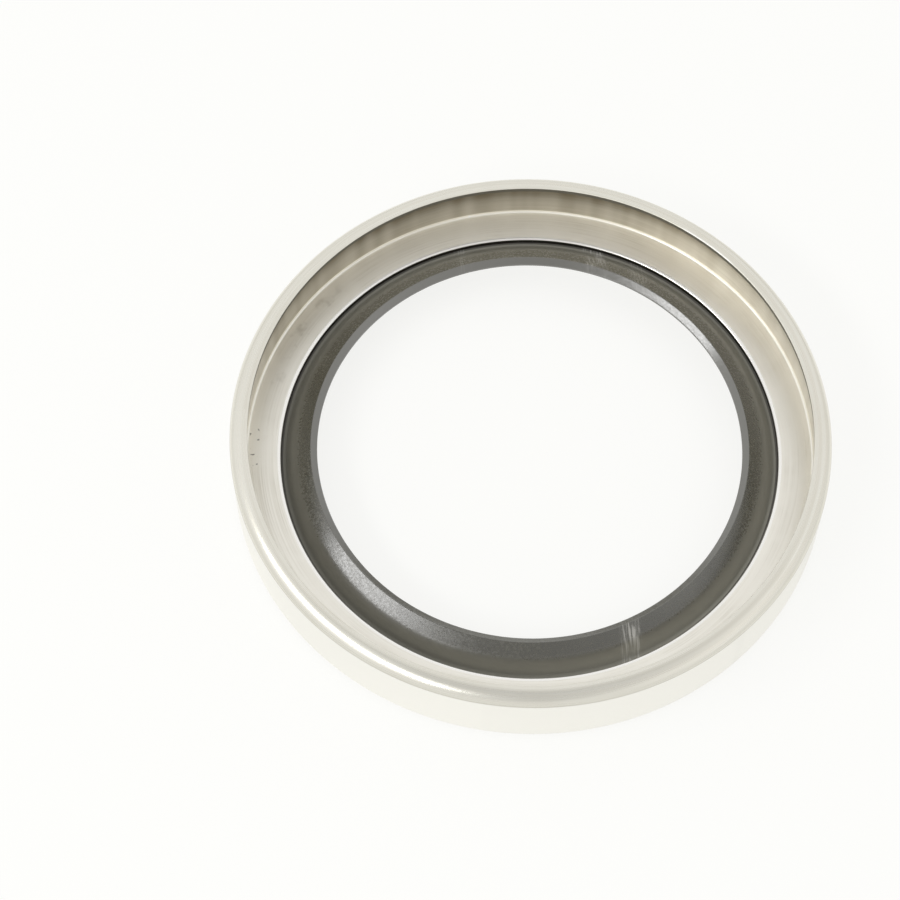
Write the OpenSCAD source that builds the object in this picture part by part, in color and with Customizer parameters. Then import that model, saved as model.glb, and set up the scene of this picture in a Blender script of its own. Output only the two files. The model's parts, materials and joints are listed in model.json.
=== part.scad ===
// Oil seal with one springless lip, in two nested steel cases.
// The axis is Z, the foot stands on z = 0 and the lip points up. Sizes are in millimetres.

/* [Fits] */
// Outside diameter of the case, a press fit in a 73.03 housing bore
case_od = 73.15; // [72.75:0.05:75]
// Width of the seal along the shaft
seal_width = 10; // [9:0.1:13]
// Diameter of the lip's contact edge while no shaft stretches it
lip_bore = 52.2; // [51.4:0.1:52.8]

/* [Outer case] */
// Thickness of the drawn sheet
outer_sheet = 0.85; // [0.8:0.05:0.95]
// Diameter of the hole in the flange
outer_hole = 58; // [56:0.5:60]
// Outside radius of the corner between wall and flange
foot_round = 1.1; // [1:0.1:2]
// Outside radius of the bend where the wall turns into the rim
rim_round = 2; // [1.6:0.1:2.2]
// Inside radius of that bend
crimp_round = 0.65; // [0.4:0.05:0.7]
// Depth ground off the outside wall after rolling, which leaves a crisp edge below the rim
ground_depth = 0.125; // [0.05:0.025:0.2]
// Diameter of the opening inside the rolled rim
rim_bore = 68.6; // [68:0.1:69]
// Distance by which the rim's cut face leans outward from its top to its underside
rim_lean = 0.1; // [0:0.02:0.2]

/* [Inner case] */
// Thickness of the drawn sheet
inner_sheet = 0.75; // [0.7:0.05:0.85]
// Diameter of the hole in the floor
inner_hole = 61.2; // [60.8:0.1:63]
// Inside radius of the corner between wall and floor
floor_round = 0.3; // [0.2:0.1:1.5]
// Radius of the bright edge around the hole
hole_round = 0.25; // [0.1:0.05:0.4]
// Gap between the walls of the two cases
nest_gap = 0.02; // [0.02:0.01:0.1]

/* [Sealing lip] */
// Thickness of the flange that the cases clamp
lip_flange = 2.15; // [1.9:0.05:2.4]
// Height of the corner between the lip's head and its trimmed end above the foot
lip_crest = 5.5; // [5.2:0.1:5.8]
// Width of the head from its crest out to its shoulder
head_width = 2; // [1.7:0.1:2.2]
// Slope of the head, in degrees
head_slope = 30; // [26:1:34]
// Slope of the neck between shoulder and flange, in degrees
neck_slope = 47; // [44:1:55]
// Radius of the bend at the shoulder
shoulder_round = 3.5; // [1:0.25:4]
// Radius of the hollow where the neck leaves the flange
root_round = 0.5; // [0.2:0.1:0.8]
// Length of the trimmed end face
trim_face = 0.95; // [0.8:0.05:1.1]
// Slope of the trimmed end face, in degrees
trim_slope = 36; // [30:1:44]
// Height of the contact edge
contact_land = 0.3; // [0.2:0.05:0.5]
// Slope of the lip's underside, in degrees
under_slope = 40; // [36:1:44]
// Radius of the bend on the lip's underside
under_round = 2; // [1:0.1:2.5]

/* [Hidden] */
$fn = 180;
// Largest angle between two points of a rounding
arc_step = 9;
// Radius left on edges that are cut or trimmed
edge_break = 0.12;
// Gap around the lip's flange
flange_gap = 0.1;

// Outer case
case_r = case_od / 2;
outer_wall_r = case_r - outer_sheet;
rim_r = rim_bore / 2;
crimp_z = seal_width - outer_sheet;
rim_bend_r = case_r + ground_depth - rim_round;
rim_turn = asin((case_r - rim_bend_r) / rim_round);
ground_top = seal_width - rim_round * (1 - cos(rim_turn));
heel_round = foot_round - outer_sheet;

// Inner case
inner_r = outer_wall_r - nest_gap;
inner_wall_r = inner_r - inner_sheet;
clamp_low = outer_sheet;
clamp_top = clamp_low + lip_flange;
floor_z = clamp_top + inner_sheet;

// Sealing lip
flange_r = outer_wall_r - flange_gap;
lip_r = lip_bore / 2;
crest_r = lip_r + trim_face * cos(trim_slope);
shoulder_r = crest_r + head_width;
shoulder_z = lip_crest - head_width * tan(head_slope);
root_r = shoulder_r + (shoulder_z - clamp_top) / tan(neck_slope);
contact_top = lip_crest - trim_face * sin(trim_slope);
contact_low = contact_top - contact_land;
under_r = lip_r + (contact_low - clamp_low) / tan(under_slope);

steel = [0.79, 0.76, 0.69];
rubber = [0.25, 0.24, 0.21];

function unit(v) = v / norm(v);
function turned(v, angle) = [v.x * cos(angle) - v.y * sin(angle), v.x * sin(angle) + v.y * cos(angle)];
function place(corner) = [corner[0], corner[1]];

// Points of one corner [radius, height, rounding]: the corner itself, or the arc that rounds it
function corner_arc(before, corner, after) =
    corner[2] == 0 ? [place(corner)] :
    let (
        to_before = unit(place(before) - place(corner)),
        to_after = unit(place(after) - place(corner)),
        half = acos(to_before * to_after) / 2,
        centre = place(corner) + unit(to_before + to_after) * corner[2] / sin(half),
        spoke = place(corner) + to_before * corner[2] / tan(half) - centre,
        sweep = sign(cross(to_after, to_before)) * (180 - 2 * half),
        steps = max(3, ceil(abs(sweep) / arc_step))
    )
    [for (i = [0 : steps]) centre + turned(spoke, sweep * i / steps)];

// Closed outline through a list of corners
function rounded(corners) =
    let (n = len(corners))
    [for (i = [0 : n - 1]) each corner_arc(corners[(i + n - 1) % n], corners[i], corners[(i + 1) % n])];

// Ring with the given section, corners as [radius, height, rounding]
module ring(corners) {
    rotate_extrude() polygon(rounded(corners));
}

// Drawn cup with a flanged foot, ground outside, its upper edge rolled in over the inner case
module outer_case() {
    color(steel) ring([
        [outer_hole / 2, 0, edge_break],
        [case_r, 0, foot_round],
        [case_r, ground_top, 0],
        [rim_bend_r + rim_round * tan(rim_turn / 2), seal_width, rim_round],
        [rim_r, seal_width, edge_break],
        [rim_r + rim_lean, crimp_z, edge_break],
        [outer_wall_r, crimp_z, crimp_round],
        [outer_wall_r, outer_sheet, heel_round],
        [outer_hole / 2, outer_sheet, edge_break]
    ]);
}

// Nested cup that carries the floor around the lip and is held down by the rim
module inner_case() {
    color(steel) ring([
        [inner_hole / 2, clamp_top, edge_break],
        [inner_r, clamp_top, floor_round + inner_sheet],
        [inner_r, crimp_z, crimp_round],
        [inner_wall_r, crimp_z, 0],
        [inner_wall_r, floor_z, floor_round],
        [inner_hole / 2, floor_z, hole_round]
    ]);
}

// Moulded ring: clamped flange, hollow root, neck, head with a trimmed end and contact edge
module sealing_lip() {
    color(rubber) ring([
        [flange_r, clamp_low, max(edge_break, heel_round)],
        [flange_r, clamp_top, edge_break],
        [root_r, clamp_top, root_round],
        [shoulder_r, shoulder_z, shoulder_round],
        [crest_r, lip_crest, edge_break],
        [lip_r, contact_top, 0],
        [lip_r, contact_low, 0],
        [under_r, clamp_low, under_round]
    ]);
}

outer_case();
inner_case();
sealing_lip();
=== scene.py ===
"""Oil seal: two nested steel cases and a rubber lip, turned from their sections and set on a pale floor.

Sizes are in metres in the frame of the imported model: the axis is Z and the foot stands on z = 0.
"""

import json
import math

import bmesh
import bpy
from bpy.props import FloatProperty, FloatVectorProperty, IntProperty, PointerProperty
from mathutils import Matrix, Vector


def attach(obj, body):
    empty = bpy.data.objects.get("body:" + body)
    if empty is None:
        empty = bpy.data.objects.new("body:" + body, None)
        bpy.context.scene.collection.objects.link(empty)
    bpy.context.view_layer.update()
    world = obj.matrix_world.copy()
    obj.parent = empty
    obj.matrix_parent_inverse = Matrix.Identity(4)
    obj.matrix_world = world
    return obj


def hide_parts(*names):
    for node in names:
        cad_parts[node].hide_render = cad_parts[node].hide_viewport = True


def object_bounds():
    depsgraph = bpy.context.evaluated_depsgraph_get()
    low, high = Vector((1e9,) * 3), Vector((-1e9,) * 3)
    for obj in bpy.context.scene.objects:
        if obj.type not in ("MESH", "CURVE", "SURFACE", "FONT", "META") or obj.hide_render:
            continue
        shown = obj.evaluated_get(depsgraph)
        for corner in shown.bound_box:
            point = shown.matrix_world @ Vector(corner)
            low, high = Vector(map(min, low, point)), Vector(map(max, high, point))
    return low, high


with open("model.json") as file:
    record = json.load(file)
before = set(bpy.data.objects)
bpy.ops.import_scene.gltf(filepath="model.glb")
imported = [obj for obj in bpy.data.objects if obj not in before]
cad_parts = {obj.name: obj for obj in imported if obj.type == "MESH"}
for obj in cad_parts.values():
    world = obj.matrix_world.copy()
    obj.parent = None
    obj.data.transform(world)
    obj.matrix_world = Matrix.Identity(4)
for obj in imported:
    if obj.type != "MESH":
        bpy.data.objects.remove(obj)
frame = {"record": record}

bl_info = {
    "name": "Oil Seal",
    "version": (1, 0, 0),
    "blender": (4, 5, 0),
    "location": "3D View > Sidebar > Oil Seal",
    "description": "Turns the cases and the lip of an oil seal and sets them on a studio floor",
    "category": "Object",
}

CAD_BOX = [list(corner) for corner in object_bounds()]
MOUNTS = {mount["name"]: mount for mount in frame["record"]["mounts"]}
MM = 0.001


def length(name, description, default):
    """A size in metres whose default is given in millimetres."""
    return FloatProperty(name=name, description=description, default=default * MM,
                         min=0, precision=5, subtype="DISTANCE", unit="LENGTH")


def angle(name, description, default):
    """An angle whose default is given in degrees."""
    return FloatProperty(name=name, description=description, default=math.radians(default),
                         subtype="ANGLE", unit="ROTATION")


def share(name, description, default):
    """A number from 0 to 1."""
    return FloatProperty(name=name, description=description, default=default, min=0, max=1, subtype="FACTOR")


def colour(name, description, default):
    """A linear colour."""
    return FloatVectorProperty(name=name, description=description, default=default,
                               size=3, min=0, max=1, subtype="COLOR")


class SealSizes(bpy.types.PropertyGroup):
    """Sizes of the three rings' sections."""

    case_radius: length("Case radius", "Outside of the case", MOUNTS["housing_fit"]["dims"]["r_mm"])
    width: length("Width", "Height of the case along the shaft", CAD_BOX[1][2] / MM)
    lip_radius: length("Lip radius", "Relaxed contact edge of the lip", MOUNTS["shaft_lip"]["dims"]["r_mm"])
    outer_sheet: length("Outer sheet", "Thickness of the outer case", 0.85)
    flange_hole: length("Flange hole", "Radius of the hole in the outer case's flange", 29)
    foot_round: length("Foot rounding", "Outside corner between wall and flange", 1.1)
    rim_round: length("Rim rounding", "Outside of the bend into the rim", 2)
    crimp_round: length("Crimp rounding", "Inside of the bend into the rim", 0.65)
    ground_depth: length("Ground depth", "Depth ground off the wall below the rim", 0.125)
    rim_radius: length("Rim radius", "Opening inside the rolled rim", 34.3)
    rim_lean: length("Rim lean", "Undercut of the rim's cut face", 0.1)
    inner_sheet: length("Inner sheet", "Thickness of the inner case", 0.75)
    floor_hole: length("Floor hole", "Radius of the hole in the inner case's floor", 30.6)
    floor_round: length("Floor rounding", "Inside corner between wall and floor", 0.3)
    hole_round: length("Hole rounding", "Edge around the floor's hole", 0.25)
    nest_gap: length("Nest gap", "Gap between the walls of the cases", 0.02)
    lip_flange: length("Lip flange", "Thickness of the clamped flange", 2.15)
    flange_gap: length("Flange gap", "Gap around the lip's flange", 0.1)
    lip_crest: length("Lip crest", "Height of the corner between head and trimmed end", 5.5)
    head_width: length("Head width", "Lip's head from its crest out to its shoulder", 2)
    head_slope: angle("Head slope", "Slope of the lip's head", 30)
    neck_slope: angle("Neck slope", "Slope between shoulder and flange", 47)
    shoulder_round: length("Shoulder rounding", "Bend at the lip's shoulder", 3.5)
    root_round: length("Root rounding", "Hollow where the neck leaves the flange", 0.5)
    trim_face: length("Trim face", "Length of the trimmed end", 0.95)
    trim_slope: angle("Trim slope", "Slope of the trimmed end", 36)
    contact_land: length("Contact land", "Height of the contact edge", 0.3)
    under_slope: angle("Under slope", "Slope of the lip's underside", 40)
    under_round: length("Under rounding", "Bend on the lip's underside", 2)
    edge_break: length("Edge break", "Radius left on cut edges", 0.12)


class SealFinish(bpy.types.PropertyGroup):
    """Colours and wear of the steel and the rubber."""

    steel: colour("Steel", "Bare drawn steel", (0.86, 0.84, 0.757))
    floor_steel: colour("Floor steel", "Brighter steel of the inner case", (1, 0.972, 0.888))
    steel_dark: colour("Steel shade", "Stained steel between the turning marks", (0.76, 0.725, 0.63))
    # Also painted shade: it darkens the inner case's wall towards the rim, under the rim's overhang
    stain_and_painted_shade: colour("Wall stain", "Brown stain on the inner case's wall", (0.15, 0.11, 0.045))
    ground_steel: colour("Ground steel", "Ground outside wall", (0.955, 0.942, 0.89))
    # Also painted light: the glints on the inner case and the rim, and part of the paleness of the hole's edge
    burnish_and_glint: colour("Bright edge", "Burnished edge of the floor's hole", (1, 0.985, 0.94))
    # Dark colour of the rim's cut face and of a faint line along the top of the ground wall
    cut_edge: colour("Cut edge", "Torn, dull face of the cut sheet", (0.22, 0.205, 0.165))
    # Also painted shade: the hole's cut face and the rubber's seam beside the steel are darkened with it
    grime_and_painted_shade: colour("Grime", "Dirt in corners and seams", (0.055, 0.05, 0.04))
    rubber: colour("Rubber", "Clean rubber", (0.05, 0.047, 0.032))
    rubber_light: colour("Dry rubber", "Dry, dusty rubber", (0.083, 0.079, 0.055))
    trimmed: colour("Trimmed rubber", "Freshly cut end of the lip", (0.128, 0.125, 0.108))
    # Paler rubber laid in the groove beside the steel and towards the far side
    pale_rubber: colour("Dust", "Dust in the groove beside the steel", (0.28, 0.27, 0.22))
    scuff: colour("Scuff", "Pale scuffs across the lip", (0.46, 0.45, 0.41))
    steel_wear: length("Steel wear", "Depth of the handling dents in the steel", 0.012)
    rubber_wear: length("Rubber wear", "Depth of the unevenness of the rubber", 0.02)
    steps_around: IntProperty(name="Steps around", description="Faces around each ring", default=480, min=24)
    seed: IntProperty(name="Seed", description="Place of the dents", default=7)


class SealStudio(bpy.types.PropertyGroup):
    """Floor, light and camera."""

    paper: colour("Floor", "Pale floor", (0.95, 0.95, 0.935))
    paper_white: colour("Floor white", "Plain white that the floor shows besides its shading", (1, 1, 0.98))
    plain_share: share("Plain share", "Share of the plain white in the floor's look", 0.82)
    far_white: share("Far white", "White of the floor away from the part, as the steel mirrors it", 0.74)
    sky: FloatProperty(name="Sky", description="Strength of the even light", default=0.87, min=0)
    sky_dim: share("Dim sky", "Loss of light behind the camera", 0.31)
    sky_bright: FloatProperty(name="Bright sky", description="Gain of light on the near right", default=0.15, min=0)
    window: FloatProperty(name="Window", description="Power of the wide soft lamp on the left", default=1.25, min=0,
                          subtype="POWER", unit="POWER")
    camera_place: FloatVectorProperty(name="Camera", description="Place of the camera", size=3,
                                      default=(0, -0.151844, 0.284665), subtype="TRANSLATION", unit="LENGTH")
    camera_tilt: angle("Camera tilt", "Angle between the view and straight down", 28.273)
    camera_turn: angle("Camera turn", "Turn of the view to the left", 1.751)
    camera_roll: angle("Camera roll", "Roll about the view", 2.978)
    lens: FloatProperty(name="Lens", description="Focal length on a 36 mm frame", default=103.549,
                        subtype="DISTANCE_CAMERA")


# Largest angle between two points of an arc, and longest step of a straight run
ARC_STEP = math.radians(7)
RUN_STEP = 0.9 * MM
# Distance from a corner to the points that hold its shading, and distance under which two points are one
SUPPORT = 0.05 * MM
SAME_PLACE = 0.001 * MM
# Scale of the noise that dents the steel and the rubber
STEEL_WEAR_SCALE = 240
RUBBER_WEAR_SCALE = 420


def corner_arc(before, corner, after, rounding):
    """Points of one corner of a section: the corner itself, or the arc that rounds it."""
    if rounding == 0:
        return [corner]
    to_before, to_after = (before - corner).normalized(), (after - corner).normalized()
    half = to_before.angle(to_after) / 2
    centre = corner + (to_before + to_after).normalized() * rounding / math.sin(half)
    spoke = corner + to_before * rounding / math.tan(half) - centre
    sweep = math.copysign(math.pi - 2 * half, to_after.cross(to_before))
    steps = max(3, math.ceil(abs(sweep) / ARC_STEP))
    shares = [i / steps for i in range(steps + 1)]
    near_end = SUPPORT / (rounding * abs(sweep))
    if near_end < shares[1] / 2:
        shares = [0, near_end, *shares[1:-1], 1 - near_end, 1]
    return [centre + Matrix.Rotation(sweep * part, 2) @ spoke for part in shares]


def run_points(start, end):
    """Points inside one straight run: one near each end, and even steps between them."""
    span = (end - start).length
    if span < 3 * SUPPORT:
        return []
    steps = max(1, math.ceil((span - 2 * SUPPORT) / RUN_STEP))
    places = [SUPPORT + (span - 2 * SUPPORT) * i / steps for i in range(steps + 1)]
    return [start.lerp(end, place / span) for place in places]


def section(corners):
    """Closed outline through corners of (radius, height, rounding), fine enough to shade smoothly."""
    places = [Vector(corner[:2]) for corner in corners]
    count = len(corners)
    arcs = [corner_arc(places[i - 1], places[i], places[(i + 1) % count], corners[i][2]) for i in range(count)]
    outline = []
    for i, arc in enumerate(arcs):
        outline += arc + run_points(arc[-1], arcs[(i + 1) % count][0])
    return [place for i, place in enumerate(outline) if (place - outline[i - 1]).length > SAME_PLACE]


def ring_tree():
    """Geometry nodes that turn a section about Z and wear its surface a little."""
    tree = bpy.data.node_groups.new("Turned ring", "GeometryNodeTree")
    face = tree.interface
    face.new_socket("Geometry", in_out="OUTPUT", socket_type="NodeSocketGeometry")
    face.new_socket("Section", in_out="INPUT", socket_type="NodeSocketGeometry")
    for name, kind in (("Path Radius", "NodeSocketFloat"), ("Steps Around", "NodeSocketInt"),
                       ("Wear Depth", "NodeSocketFloat"), ("Wear Scale", "NodeSocketFloat"),
                       ("Seed", "NodeSocketInt"), ("Material", "NodeSocketMaterial")):
        face.new_socket(name, in_out="INPUT", socket_type=kind)

    def node(kind, **values):
        made = tree.nodes.new(kind)
        for key, value in values.items():
            setattr(made, key, value)
        return made

    link = tree.links.new
    given = node("NodeGroupInput").outputs
    outline = node("GeometryNodeMeshToCurve")
    path = node("GeometryNodeCurvePrimitiveCircle", mode="RADIUS")
    upright = node("GeometryNodeSetCurveNormal", mode="Z_UP")
    sweep = node("GeometryNodeCurveToMesh")
    noise = node("ShaderNodeTexNoise", noise_dimensions="4D")
    dent = node("ShaderNodeMath", operation="MULTIPLY")
    inward = node("ShaderNodeVectorMath", operation="SCALE")
    normal = node("GeometryNodeInputNormal")
    worn = node("GeometryNodeSetPosition")
    smooth = node("GeometryNodeSetShadeSmooth")
    real = node("GeometryNodeRealizeInstances")
    finish = node("GeometryNodeSetMaterial")
    result = node("NodeGroupOutput").inputs

    link(given["Section"], outline.inputs["Mesh"])
    link(given["Path Radius"], path.inputs["Radius"])
    link(given["Steps Around"], path.inputs["Resolution"])
    link(path.outputs["Curve"], upright.inputs["Curve"])
    link(upright.outputs["Curve"], sweep.inputs["Curve"])
    link(outline.outputs["Curve"], sweep.inputs["Profile Curve"])
    link(given["Wear Scale"], noise.inputs["Scale"])
    link(given["Seed"], noise.inputs["W"])
    link(given["Wear Depth"], dent.inputs[0])
    link(noise.outputs["Fac"], dent.inputs[1])
    link(normal.outputs["Normal"], inward.inputs[0])
    link(dent.outputs["Value"], inward.inputs["Scale"])
    link(sweep.outputs["Mesh"], worn.inputs["Geometry"])
    link(inward.outputs["Vector"], worn.inputs["Offset"])
    link(worn.outputs["Geometry"], smooth.inputs["Geometry"])
    link(smooth.outputs["Geometry"], real.inputs["Geometry"])
    link(real.outputs["Geometry"], finish.inputs["Geometry"])
    link(given["Material"], finish.inputs["Material"])
    link(finish.outputs["Geometry"], result["Geometry"])
    return tree


def turned_ring(name, corners, material, wear, wear_scale):
    """One closed ring as a plain mesh object at the origin."""
    settings = bpy.context.scene.seal_finish
    path_radius = bpy.context.scene.seal_sizes.lip_radius
    outline = section(corners)
    sketch = bpy.data.meshes.new(name + "_section")
    count = len(outline)
    sketch.from_pydata([(place.x - path_radius, -place.y, 0) for place in outline],
                       [(i, (i + 1) % count) for i in range(count)], [])
    holder = bpy.data.objects.new(name + "_section", sketch)
    bpy.context.collection.objects.link(holder)
    turn = holder.modifiers.new("Turned ring", "NODES")
    turn.node_group = bpy.data.node_groups.get("Turned ring") or ring_tree()
    values = {"Path Radius": path_radius, "Steps Around": settings.steps_around, "Wear Depth": wear,
              "Wear Scale": wear_scale, "Seed": settings.seed, "Material": material}
    for socket in turn.node_group.interface.items_tree:
        if socket.in_out == "INPUT" and socket.name in values:
            turn[socket.identifier] = values[socket.name]
    evaluated = holder.evaluated_get(bpy.context.evaluated_depsgraph_get())
    mesh = bpy.data.meshes.new_from_object(evaluated)
    bpy.data.objects.remove(holder)
    bpy.data.meshes.remove(sketch)
    if not mesh.polygons:
        raise RuntimeError(f"{name}: the section gave no faces")
    shell = bmesh.new()
    shell.from_mesh(mesh)
    bmesh.ops.recalc_face_normals(shell, faces=shell.faces)
    shell.to_mesh(mesh)
    shell.free()
    mesh.name = name
    ring = bpy.data.objects.new(name, mesh)
    bpy.context.collection.objects.link(ring)
    return ring


def stand_for(ring, node):
    """The ring rides on the part's one body in place of its CAD node."""
    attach(ring, "root")
    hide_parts(node)


class Shader:
    """A new material with a Principled shader, and short calls that add nodes to it."""

    def __init__(self, name):
        self.material = bpy.data.materials.new(name)
        self.material.use_nodes = True
        self.tree = self.material.node_tree
        self.principled = self.tree.nodes["Principled BSDF"]
        place = self.add("ShaderNodeTexCoord").outputs["Object"]
        self.place = place
        parts = self.add("ShaderNodeSeparateXYZ", Vector=place).outputs
        self.x, self.y, self.z = parts["X"], parts["Y"], parts["Z"]
        flat = self.vector(self.x, self.y, 0)
        self.radius = self.add("ShaderNodeVectorMath", operation="LENGTH", Vector=flat).outputs["Value"]
        self.azimuth = self.maths("ARCTAN2", self.y, self.x)

    def add(self, kind, operation=None, **inputs):
        made = self.tree.nodes.new(kind)
        if operation:
            made.operation = operation
        for name, value in inputs.items():
            self.feed(made.inputs[name], value)
        return made

    def feed(self, socket, value):
        if isinstance(value, bpy.types.NodeSocket):
            self.tree.links.new(value, socket)
        else:
            socket.default_value = value

    def maths(self, operation, *values):
        made = self.tree.nodes.new("ShaderNodeMath")
        made.operation = operation
        for socket, value in zip(made.inputs, values):
            self.feed(socket, value)
        return made.outputs["Value"]

    def times(self, first, *others):
        for other in others:
            first = self.maths("MULTIPLY", first, other)
        return first

    def vector(self, x, y, z):
        return self.add("ShaderNodeCombineXYZ", X=x, Y=y, Z=z).outputs["Vector"]

    def noise(self, place, scale, detail=2.0, roughness=0.5):
        made = self.add("ShaderNodeTexNoise", Vector=place, Scale=scale, Detail=detail, Roughness=roughness)
        return made.outputs["Fac"]

    def ramp(self, value, low, high, start=0.0, end=1.0):
        """Smooth step of value from start at low to end at high."""
        made = self.add("ShaderNodeMapRange", Value=value)
        made.interpolation_type = "SMOOTHSTEP"
        for name, number in (("From Min", low), ("From Max", high), ("To Min", start), ("To Max", end)):
            made.inputs[name].default_value = number
        return made.outputs["Result"]

    def below(self, value, limit, soft):
        """1 where value is under limit, falling to 0 over soft."""
        return self.ramp(value, limit + soft, limit)

    def above(self, value, limit, soft):
        """1 where value is over limit, falling to 0 over soft."""
        return self.ramp(value, limit - soft, limit)

    def band(self, value, middle, half, soft):
        """1 where value is within half of middle, falling to 0 over soft."""
        away = self.maths("ABSOLUTE", self.maths("SUBTRACT", value, middle))
        return self.below(away, half, soft)

    def blend(self, factor, first, second):
        made = self.tree.nodes.new("ShaderNodeMix")
        made.data_type = "RGBA"
        self.feed(made.inputs[0], factor)
        for socket, value in ((made.inputs[6], first), (made.inputs[7], second)):
            self.feed(socket, value if isinstance(value, bpy.types.NodeSocket) else (*value, 1))
        return made.outputs[2]

    def finish(self, base, roughness, height, depth):
        """Links colour, roughness and a bump of the given depth in metres."""
        bump = self.add("ShaderNodeBump", Height=height, Distance=depth)
        self.feed(self.principled.inputs["Base Color"], base)
        self.feed(self.principled.inputs["Roughness"], roughness)
        self.tree.links.new(bump.outputs["Normal"], self.principled.inputs["Normal"])
        return self.material


# Widths over which the edge of a finish fades
CRISP = 0.05 * MM
FINE = 0.06 * MM
SOFT = 0.1 * MM
BROAD = 0.2 * MM
WIDE = MM


def drawn_steel(s, clean, smooth, rough):
    """Base colour from the given clean one, roughness between two levels and turning marks of drawn steel."""
    finish = bpy.context.scene.seal_finish
    mark_stretch, mark_scale, stain_scale = 0.0004, 5200, 130
    s.principled.inputs["Metallic"].default_value = 1
    around = s.times(s.azimuth, mark_stretch)
    marks = s.noise(s.vector(s.radius, s.z, around), mark_scale, detail=4, roughness=0.65)
    stain = s.noise(s.place, stain_scale, detail=3, roughness=0.55)
    shade = s.times(s.ramp(marks, 0.35, 0.75), s.ramp(stain, 0.3, 0.75, end=0.75))
    base = s.blend(shade, tuple(clean), tuple(finish.steel_dark))
    return base, s.ramp(marks, 0.25, 0.8, smooth, rough), marks


def outer_steel():
    """Drawn steel with rolling lines on the rim, a ground wall, a dark rough cut face on the rim, and a painted
    highlight on the rim's inner edge.
    """
    finish, sizes = bpy.context.scene.seal_finish, bpy.context.scene.seal_sizes
    line_stretch, line_scale = 0.0003, 1500
    mid_height, rim_low, ground_top = 5 * MM, 8.9 * MM, 8.74 * MM
    edge_height, edge_half, edge_depth, edge_strength = 8.79 * MM, 0.05 * MM, 0.15 * MM, 0.2
    rim_glint_azimuth, rim_glint_half, rim_glint_fade = math.radians(52), math.radians(5), math.radians(3)
    satin, torn, mark_depth = 0.5, 0.6, 0.002 * MM
    s = Shader("Outer case steel")
    base, roughness, marks = drawn_steel(s, finish.steel, smooth=0.25, rough=0.33)
    upper = s.above(s.z, mid_height, WIDE)

    around = s.times(s.azimuth, line_stretch)
    rolled = s.noise(s.vector(s.radius, s.z, around), line_scale)
    on_rim = s.times(s.above(s.z, rim_low, BROAD), s.above(s.radius, sizes.rim_radius + 0.3 * MM, BROAD))
    base = s.blend(s.times(on_rim, s.ramp(rolled, 0.45, 0.65, end=0.5)), base, tuple(finish.steel_dark))

    ground = s.times(s.above(s.radius, sizes.case_radius - 0.04 * MM, 0.01 * MM), s.below(s.z, ground_top, FINE))
    base = s.blend(ground, base, tuple(finish.ground_steel))
    roughness = s.maths("MAXIMUM", roughness, s.times(ground, satin))
    inside = s.times(s.below(s.radius, sizes.rim_radius + 0.25 * MM, SOFT), upper)
    roughness = s.maths("MAXIMUM", roughness, s.times(inside, satin))
    # A faint darker line along the top of the ground wall
    ground_edge = s.times(s.band(s.z, edge_height, edge_half, FINE),
                          s.above(s.radius, sizes.case_radius - edge_depth, CRISP))
    base = s.blend(s.times(ground_edge, edge_strength), base, tuple(finish.cut_edge))

    # Painted highlight: a short stretch of the rim's inner top edge near azimuth 52 degrees is painted pale where the
    # lamp glints
    scuffs_and_painted_glint = s.times(s.below(s.radius, sizes.rim_radius + 0.2 * MM, CRISP),
                     s.above(s.z, sizes.width - 0.1 * MM, CRISP),
                     s.band(s.azimuth, rim_glint_azimuth, rim_glint_half, rim_glint_fade))
    base = s.blend(scuffs_and_painted_glint, base, tuple(finish.burnish_and_glint))
    # Dark colour and a rough finish on the rim's cut face
    cut = s.times(s.below(s.radius, sizes.rim_radius + sizes.rim_lean + 0.05 * MM, CRISP),
                  s.below(s.z, sizes.width - sizes.edge_break, FINE), upper)
    base = s.blend(cut, base, tuple(finish.cut_edge))
    roughness = s.maths("MAXIMUM", roughness, s.times(cut, torn))
    return s.finish(base, roughness, marks, mark_depth)


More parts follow.
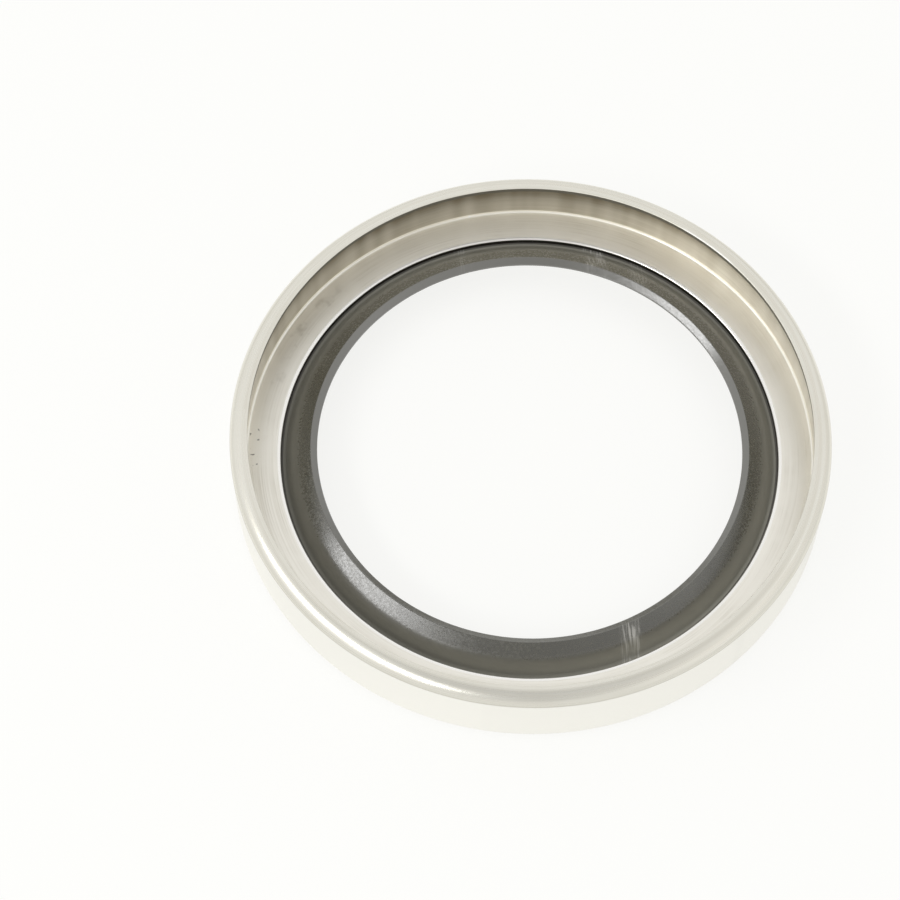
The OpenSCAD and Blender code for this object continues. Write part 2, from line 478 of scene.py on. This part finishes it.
def inner_steel():
    """Drawn steel with a streaky stained wall that painted shade darkens towards the rim, painted glints, a burnished
    hole edge painted paler for its highlight over a cut face painted dark as shade, and some dirt.
    """
    finish, sizes = bpy.context.scene.seal_finish, bpy.context.scene.seal_sizes
    floor_z = sizes.outer_sheet + sizes.lip_flange + sizes.inner_sheet
    wall_r = sizes.case_radius - sizes.outer_sheet - sizes.nest_gap - sizes.inner_sheet
    streak_stretch, streak_scale = 0.03, 420
    stain_from, stain_from_fade = math.radians(70), math.radians(55)
    stain_to, stain_to_fade = math.radians(155), math.radians(25)
    # Painted glints: three small spots painted pale where light glints on the top edge of the wall and in the floor's
    # corner
    glints, glint_size, glint_fade = ((2.35, 34.85, 8.85), (-9.3, 33.65, 8.85), (-9.3, 33.5, 3.95)), 0.15 * MM, 0.12 * MM
    edge_width, burnish = 0.42 * MM, 0.2
    speck_scale, speck_x, speck_y, speck_half, speck_strength = 1500, -33.2 * MM, -2 * MM, 2.6 * MM, 0.75
    smudge_scale, smudge_r, smudge_half, smudge_fade = 480, 33.1 * MM, 0.7 * MM, 0.6 * MM
    smudge_azimuth, smudge_turn, smudge_turn_fade = math.radians(154), math.radians(10), math.radians(8)
    mark_depth = 0.004 * MM
    s = Shader("Inner case steel")
    base, roughness, marks = drawn_steel(s, finish.floor_steel, smooth=0.38, rough=0.48)
    far_left = s.times(s.ramp(s.y, 12 * MM, 32 * MM, end=0.14), s.below(s.x, 6 * MM, 12 * MM))
    roughness = s.maths("ADD", roughness, far_left)

    # Streaky brown stain on the wall, with painted shade making it darker towards the rim under its overhang; more of
    # it from azimuth 70 to 155 degrees
    streaks = s.noise(s.vector(s.times(s.azimuth, streak_stretch), 0, 0), streak_scale, detail=1)
    on_wall = s.times(s.above(s.radius, wall_r - 0.1 * MM, SOFT), s.above(s.z, floor_z + 0.5 * MM, 0.3 * MM))
    shade = s.maths("ADD", s.ramp(streaks, 0.3, 0.7, 0.49, 0.63), s.ramp(s.z, 6 * MM, 9 * MM, end=0.3))
    stained = s.times(s.above(s.azimuth, stain_from, stain_from_fade), s.below(s.azimuth, stain_to, stain_to_fade))
    stained = s.maths("MULTIPLY_ADD", stained, 0.45, 0.55)
    base = s.blend(s.times(on_wall, shade, stained), base, tuple(finish.stain_and_painted_shade))
    # Paint the glints pale
    for glint in glints:
        away = s.add("ShaderNodeVectorMath", operation="DISTANCE", Vector=s.place)
        away.inputs[1].default_value = Vector(glint) * MM
        base = s.blend(s.below(away.outputs["Value"], glint_size, glint_fade), base, tuple(finish.burnish_and_glint))

    # Burnished hole edge, also painted paler for the highlight along its rounding
    edge = s.times(s.below(s.radius, sizes.floor_hole + edge_width, FINE), s.above(s.z, floor_z - 0.1 * MM, CRISP))
    base = s.blend(edge, base, tuple(finish.burnish_and_glint))
    roughness = s.maths("SUBTRACT", roughness, s.times(edge, burnish))
    # Painted shade: the hole's cut face is painted near black for the shadow in the gap under the floor's edge
    hole = s.times(s.below(s.radius, sizes.floor_hole + 0.1 * MM, CRISP), s.below(s.z, floor_z - 0.16 * MM, FINE))
    base = s.blend(hole, base, tuple(finish.grime_and_painted_shade))

    on_floor = s.below(s.z, floor_z + 0.2 * MM, BROAD)
    specks = s.ramp(s.noise(s.place, speck_scale, detail=3, roughness=0.6), 0.62, 0.68)
    left = s.times(s.below(s.x, speck_x, 0.5 * MM), s.band(s.y, speck_y, speck_half, WIDE), on_floor)
    base = s.blend(s.times(left, specks, speck_strength), base, tuple(finish.grime_and_painted_shade))
    smudges = s.times(s.band(s.azimuth, smudge_azimuth, smudge_turn, smudge_turn_fade),
                      s.band(s.radius, smudge_r, smudge_half, smudge_fade), on_floor,
                      s.ramp(s.noise(s.place, smudge_scale), 0.52, 0.7, end=0.25))
    base = s.blend(smudges, base, tuple(finish.stain_and_painted_shade))
    return s.finish(base, roughness, marks, mark_depth)


def lip_rubber():
    """Moulded rubber: smooth head, paler trimmed end, paler groove and far side, a dark seam of painted shade and
    dirt beside the steel, and scuffs.
    """
    finish, sizes = bpy.context.scene.seal_finish, bpy.context.scene.seal_sizes
    crest_r = sizes.lip_radius + sizes.trim_face * math.cos(sizes.trim_slope)
    grain_scale, dry_scale, grain_depth = 3200, 240, 0.005 * MM
    upper_from, end_low = 2.5 * MM, 4.7 * MM
    groove_from, groove_to, seam_width, seam_strength = 28 * MM, 30.2 * MM, 0.15 * MM, 0.85
    scuff_lean, scuff_stretch, scuff_scale, scuff_fade, scuff_on_end = 0.143, 0.08, 4200, 0.6 * MM, 0.8
    under_lean, under_top = 0.8, 4.9 * MM
    s = Shader("Lip rubber")
    s.principled.inputs["Specular IOR Level"].default_value = 1
    s.principled.inputs["IOR"].default_value = 1.65
    grain = s.noise(s.place, grain_scale, detail=3, roughness=0.6)
    dry = s.noise(s.place, dry_scale, detail=4, roughness=0.6)
    base = s.blend(s.times(s.ramp(grain, 0.3, 0.75), s.ramp(dry, 0.3, 0.7)),
                   tuple(finish.rubber), tuple(finish.rubber_light))

    upper = s.above(s.z, upper_from, BROAD)
    end = s.times(s.below(s.radius, crest_r - 0.03 * MM, CRISP), s.above(s.z, end_low, SOFT))
    # Paler towards the far side (+y)
    far_paler = s.times(s.ramp(s.y, 5 * MM, 28 * MM, end=0.35), upper)
    base = s.blend(far_paler, base, tuple(finish.pale_rubber))
    base = s.blend(end, base, tuple(finish.trimmed))
    # Paler in the groove beside the steel, more so towards +x
    groove = s.times(s.ramp(s.radius, groove_from, groove_to), upper)
    base = s.blend(s.times(groove, s.ramp(s.x, -20 * MM, 25 * MM, 0.6, 0.95)), base, tuple(finish.pale_rubber))
    # Dark seam beside the steel: painted shade for the shadow at the steel's edge, together with some dirt
    seam = s.times(s.above(s.radius, sizes.floor_hole - seam_width, SOFT), upper)
    base = s.blend(s.times(seam, seam_strength), base, tuple(finish.grime_and_painted_shade))

    across = s.maths("MULTIPLY_ADD", s.y, scuff_lean, s.x)
    near_side, far_side = s.below(s.y, 0, WIDE), s.above(s.y, 0, WIDE)
    scuffs_and_painted_glint = 0
    for side, middle, half, strength in ((near_side, 9.5, 0.9, 1), (far_side, 11.1, 1, 0.9),
                                         (far_side, -5.9, 0.6, 0.4), (far_side, 16.4, 0.7, 0.5)):
        patch = s.times(side, s.band(across, middle * MM, half * MM, scuff_fade), strength)
        scuffs_and_painted_glint = s.maths("ADD", patch, scuffs_and_painted_glint)
    lines = s.noise(s.vector(across, s.times(s.y, scuff_stretch), 0), scuff_scale, roughness=0.6)
    clean_end = s.maths("SUBTRACT", 1, s.times(end, scuff_on_end))
    upper_side = s.above(s.maths("MULTIPLY_ADD", s.radius, under_lean, s.z),
                         sizes.lip_radius * under_lean + under_top, SOFT)
    scuffs_and_painted_glint = s.times(scuffs_and_painted_glint, clean_end, upper_side, s.ramp(lines, 0.46, 0.66, 0.06, 0.9))
    base = s.blend(scuffs_and_painted_glint, base, tuple(finish.scuff))

    head = s.below(s.radius, crest_r + sizes.head_width - 0.8 * MM, 1.4 * MM)
    roughness = s.maths("SUBTRACT", s.ramp(grain, 0.25, 0.75, 0.4, 0.54), s.times(head, 0.22))
    roughness = s.maths("SUBTRACT", roughness, s.times(end, 0.06))
    roughness = s.maths("ADD", roughness, s.ramp(s.radius, 29.6 * MM, 30.1 * MM, end=0.4))
    return s.finish(base, roughness, grain, grain_depth)


class SEAL_OT_outer_case(bpy.types.Operator):
    """Turn the outer case: flanged foot, straight wall and rolled rim"""

    bl_idname = "seal.outer_case"
    bl_label = "Outer case"

    def execute(self, context):
        sizes, finish = context.scene.seal_sizes, context.scene.seal_finish
        wall_r = sizes.case_radius - sizes.outer_sheet
        crimp_z = sizes.width - sizes.outer_sheet
        bend_r = sizes.case_radius + sizes.ground_depth - sizes.rim_round
        rim_turn = math.asin((sizes.case_radius - bend_r) / sizes.rim_round)
        ground_top = sizes.width - sizes.rim_round * (1 - math.cos(rim_turn))
        corners = [
            (sizes.flange_hole, 0, sizes.edge_break),
            (sizes.case_radius, 0, sizes.foot_round),
            (sizes.case_radius, ground_top, 0),
            (bend_r + sizes.rim_round * math.tan(rim_turn / 2), sizes.width, sizes.rim_round),
            (sizes.rim_radius, sizes.width, sizes.edge_break),
            (sizes.rim_radius + sizes.rim_lean, crimp_z, sizes.edge_break),
            (wall_r, crimp_z, sizes.crimp_round),
            (wall_r, sizes.outer_sheet, sizes.foot_round - sizes.outer_sheet),
            (sizes.flange_hole, sizes.outer_sheet, sizes.edge_break),
        ]
        ring = turned_ring("outer_case_ring", corners, outer_steel(), finish.steel_wear, STEEL_WEAR_SCALE)
        stand_for(ring, "outer_case")
        return {"FINISHED"}


class SEAL_OT_inner_case(bpy.types.Operator):
    """Turn the inner case: wall, rounded corner and the floor around the lip"""

    bl_idname = "seal.inner_case"
    bl_label = "Inner case"

    def execute(self, context):
        sizes, finish = context.scene.seal_sizes, context.scene.seal_finish
        outside_r = sizes.case_radius - sizes.outer_sheet - sizes.nest_gap
        inside_r = outside_r - sizes.inner_sheet
        crimp_z = sizes.width - sizes.outer_sheet
        clamp_z = sizes.outer_sheet + sizes.lip_flange
        floor_z = clamp_z + sizes.inner_sheet
        corners = [
            (sizes.floor_hole, clamp_z, sizes.edge_break),
            (outside_r, clamp_z, sizes.floor_round + sizes.inner_sheet),
            (outside_r, crimp_z, sizes.crimp_round),
            (inside_r, crimp_z, 0),
            (inside_r, floor_z, sizes.floor_round),
            (sizes.floor_hole, floor_z, sizes.hole_round),
        ]
        ring = turned_ring("inner_case_ring", corners, inner_steel(), finish.steel_wear, STEEL_WEAR_SCALE)
        stand_for(ring, "inner_case")
        return {"FINISHED"}


class SEAL_OT_sealing_lip(bpy.types.Operator):
    """Turn the rubber lip: clamped flange, neck, head and trimmed end"""

    bl_idname = "seal.sealing_lip"
    bl_label = "Sealing lip"

    def execute(self, context):
        sizes, finish = context.scene.seal_sizes, context.scene.seal_finish
        flange_r = sizes.case_radius - sizes.outer_sheet - sizes.flange_gap
        low_z = sizes.outer_sheet
        top_z = low_z + sizes.lip_flange
        crest_r = sizes.lip_radius + sizes.trim_face * math.cos(sizes.trim_slope)
        shoulder_r = crest_r + sizes.head_width
        shoulder_z = sizes.lip_crest - sizes.head_width * math.tan(sizes.head_slope)
        root_r = shoulder_r + (shoulder_z - top_z) / math.tan(sizes.neck_slope)
        contact_top = sizes.lip_crest - sizes.trim_face * math.sin(sizes.trim_slope)
        contact_low = contact_top - sizes.contact_land
        under_r = sizes.lip_radius + (contact_low - low_z) / math.tan(sizes.under_slope)
        corners = [
            (flange_r, low_z, max(sizes.edge_break, sizes.foot_round - sizes.outer_sheet)),
            (flange_r, top_z, sizes.edge_break),
            (root_r, top_z, sizes.root_round),
            (shoulder_r, shoulder_z, sizes.shoulder_round),
            (crest_r, sizes.lip_crest, sizes.edge_break),
            (sizes.lip_radius, contact_top, 0),
            (sizes.lip_radius, contact_low, 0),
            (under_r, low_z, sizes.under_round),
        ]
        ring = turned_ring("sealing_lip_ring", corners, lip_rubber(), finish.rubber_wear, RUBBER_WEAR_SCALE)
        stand_for(ring, "sealing_lip")
        return {"FINISHED"}


class SEAL_OT_stage(bpy.types.Operator):
    """Lay the pale floor, light it evenly and set the camera"""

    bl_idname = "seal.stage"
    bl_label = "Stage"

    def execute(self, context):
        studio = context.scene.seal_studio
        self.floor(studio)
        self.sky(context.scene, studio)
        self.window(context.scene, studio)
        self.camera(context.scene, studio)
        context.scene.view_settings.view_transform = "Standard"
        return {"FINISHED"}

    def floor(self, studio):
        half, part_edge, away = 1.5, 0.052, 0.075
        mesh = bpy.data.meshes.new("floor")
        mesh.from_pydata([(-half, -half, 0), (half, -half, 0), (half, half, 0), (-half, half, 0)], [], [(0, 1, 2, 3)])
        floor = bpy.data.objects.new("floor", mesh)
        bpy.context.collection.objects.link(floor)
        paper = Shader("Pale floor")
        paper.principled.inputs["Base Color"].default_value = (*studio.paper, 1)
        paper.principled.inputs["Roughness"].default_value = 0.9
        paper.principled.inputs["Specular IOR Level"].default_value = 0.1
        ray = paper.add("ShaderNodeLightPath").outputs
        near = paper.ramp(paper.radius, part_edge, away, 1, studio.far_white)
        white = paper.add("ShaderNodeEmission", Color=(*studio.paper_white, 1),
                          Strength=paper.maths("MAXIMUM", ray["Is Camera Ray"], near))
        seen = paper.maths("MAXIMUM", ray["Is Camera Ray"], ray["Is Glossy Ray"])
        seen = paper.maths("MAXIMUM", seen, ray["Is Transmission Ray"])
        mixed = paper.add("ShaderNodeMixShader", Fac=paper.times(seen, studio.plain_share))
        link = paper.tree.links.new
        link(paper.principled.outputs["BSDF"], mixed.inputs[1])
        link(white.outputs["Emission"], mixed.inputs[2])
        link(mixed.outputs["Shader"], paper.tree.nodes["Material Output"].inputs["Surface"])
        mesh.materials.append(paper.material)

    def sky(self, scene, studio):
        world = bpy.data.worlds.new("Studio")
        world.use_nodes = True
        nodes, link = world.node_tree.nodes, world.node_tree.links.new
        looking = nodes.new("ShaderNodeTexCoord").outputs["Generated"]

        def patch(towards, wide, narrow, gain):
            """Gain of light around one direction, full within narrow degrees and none beyond wide."""
            facing = nodes.new("ShaderNodeVectorMath")
            facing.operation = "DOT_PRODUCT"
            facing.inputs[1].default_value = towards.normalized()
            link(looking, facing.inputs[0])
            level = nodes.new("ShaderNodeMapRange")
            level.interpolation_type = "SMOOTHSTEP"
            for name, number in (("From Min", math.cos(math.radians(wide))),
                                 ("From Max", math.cos(math.radians(narrow))), ("To Min", 0), ("To Max", gain)):
                level.inputs[name].default_value = number
            link(facing.outputs["Value"], level.inputs["Value"])
            return level.outputs["Result"]

        near_right = Vector((0.6, -0.42, 0.69))
        strength = studio.sky
        for gain in (patch(studio.camera_place, wide=52, narrow=14, gain=-studio.sky_dim),
                     patch(near_right, wide=40, narrow=12, gain=studio.sky_bright)):
            total = nodes.new("ShaderNodeMath")
            link(gain, total.inputs[0])
            if isinstance(strength, bpy.types.NodeSocket):
                link(strength, total.inputs[1])
            else:
                total.inputs[1].default_value = strength
            strength = total.outputs["Value"]
        background = nodes["Background"].inputs
        background["Color"].default_value = (1, 1, 1, 1)
        link(strength, background["Strength"])
        scene.world = world

    def window(self, scene, studio):
        lamp = bpy.data.lights.new("window", "AREA")
        lamp.shape = "RECTANGLE"
        lamp.size, lamp.size_y = 0.6, 0.125
        lamp.energy = studio.window
        window = bpy.data.objects.new("window", lamp)
        window.location = (-0.398, -0.276, 0.435)
        window.rotation_euler = (-window.location).to_track_quat("-Z", "Y").to_euler()
        scene.collection.objects.link(window)

    def camera(self, scene, studio):
        lens = bpy.data.cameras.new("photo_view")
        lens.sensor_width = 36
        lens.lens = studio.lens
        lens.clip_start = 0.01
        camera = bpy.data.objects.new("photo_view", lens)
        turn = (Matrix.Rotation(studio.camera_tilt, 4, "X") @ Matrix.Rotation(studio.camera_turn, 4, "Y")
                @ Matrix.Rotation(studio.camera_roll, 4, "Z"))
        camera.matrix_world = Matrix.Translation(studio.camera_place) @ turn
        scene.collection.objects.link(camera)
        scene.camera = camera


class SEAL_PT_panel(bpy.types.Panel):
    """Buttons and sizes of the seal"""

    bl_idname = "SEAL_PT_panel"
    bl_label = "Oil Seal"
    bl_space_type = "VIEW_3D"
    bl_region_type = "UI"
    bl_category = "Oil Seal"

    def draw(self, context):
        for operator in OPERATORS:
            self.layout.operator(operator.bl_idname)
        for group in (context.scene.seal_sizes, context.scene.seal_finish, context.scene.seal_studio):
            box = self.layout.box()
            for name in group.__annotations__:
                box.prop(group, name)


GROUPS = {"seal_sizes": SealSizes, "seal_finish": SealFinish, "seal_studio": SealStudio}
OPERATORS = (SEAL_OT_outer_case, SEAL_OT_inner_case, SEAL_OT_sealing_lip, SEAL_OT_stage)


def register():
    for kind in (*GROUPS.values(), *OPERATORS, SEAL_PT_panel):
        bpy.utils.register_class(kind)
    for name, group in GROUPS.items():
        setattr(bpy.types.Scene, name, PointerProperty(type=group))


def unregister():
    for name in GROUPS:
        delattr(bpy.types.Scene, name)
    for kind in reversed((*GROUPS.values(), *OPERATORS, SEAL_PT_panel)):
        bpy.utils.unregister_class(kind)


def main():
    register()
    bpy.ops.seal.outer_case()
    bpy.ops.seal.inner_case()
    bpy.ops.seal.sealing_lip()
    bpy.ops.seal.stage()


if __name__ == "__main__":
    main()
